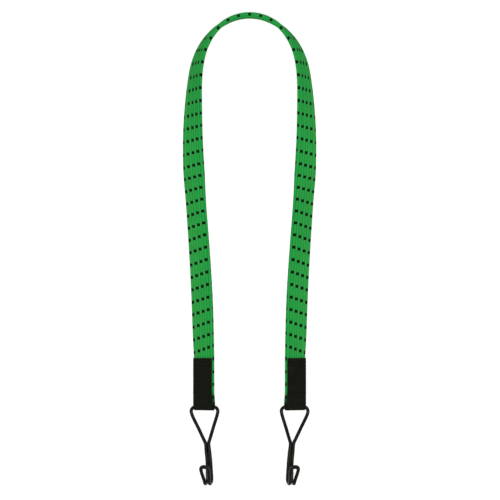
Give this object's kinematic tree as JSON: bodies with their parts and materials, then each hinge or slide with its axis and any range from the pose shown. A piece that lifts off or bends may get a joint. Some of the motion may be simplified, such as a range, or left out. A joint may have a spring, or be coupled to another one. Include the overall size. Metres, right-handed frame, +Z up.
{
  "type": "bungee cord",
  "caption": "Flat elastic strap lying in a twisted U, with a sewn webbing tab and a swinging bent-wire hook at each end, for tying down a load.",
  "frame": {"origin": "on the table, in the middle of the cord's footprint as it lies in the picture", "axes": "+Y from the hooks towards the arch of the U, +X to the right hook, +Z up from the table; the cord mirrors across X = 0"},
  "size_m": [0.1298, 0.4592, 0.0206],
  "materials": {
    "green_jacket": "woven polyester yarn, green with black tracer yarns, dull",
    "rubber": "natural latex strand, hidden in the jacket",
    "webbing": "black woven webbing, dull",
    "thread": "black polyester sewing thread, slight sheen",
    "coated_wire": "steel wire with a thin black coating, satin"
  },
  "bodies": {
    "strap": {"strap_jacket": "green_jacket", "rubber_strand_1": "rubber", "rubber_strand_2": "rubber", "rubber_strand_3": "rubber", "rubber_strand_4": "rubber"},
    "left_end": {"left_webbing_tab": "webbing", "left_upper_bar_tack": "thread", "left_middle_bar_tack": "thread", "left_lower_bar_tack": "thread"},
    "left_hook": {"left_wire_hook": "coated_wire"},
    "right_end": {"right_webbing_tab": "webbing", "right_upper_bar_tack": "thread", "right_middle_bar_tack": "thread", "right_lower_bar_tack": "thread"},
    "right_hook": {"right_wire_hook": "coated_wire"}
  },
  "joints": [
    {"name": "left_stretch", "type": "slide", "parent": "strap", "child": "left_end", "axis": [0, -1, 0], "range_m": [0, 0.33], "stiffness_N_per_m": 650, "deforming": ["strap_jacket", "rubber_strand_1", "rubber_strand_2", "rubber_strand_3", "rubber_strand_4"]},
    {"name": "left_hook_swing", "type": "hinge", "parent": "left_end", "child": "left_hook", "pos_m": [-0.04378, -0.15404, 0.00738], "axis": [0.9397, 0, 0.342], "range_deg": [-145, 145]},
    {"name": "right_stretch", "type": "slide", "parent": "strap", "child": "right_end", "axis": [0, -1, 0], "range_m": [0, 0.33], "stiffness_N_per_m": 650, "deforming": ["strap_jacket", "rubber_strand_1", "rubber_strand_2", "rubber_strand_3", "rubber_strand_4"]},
    {"name": "right_hook_swing", "type": "hinge", "parent": "right_end", "child": "right_hook", "pos_m": [0.04378, -0.15404, 0.00738], "axis": [0.9397, 0, -0.342], "range_deg": [-145, 145]}
  ]
}
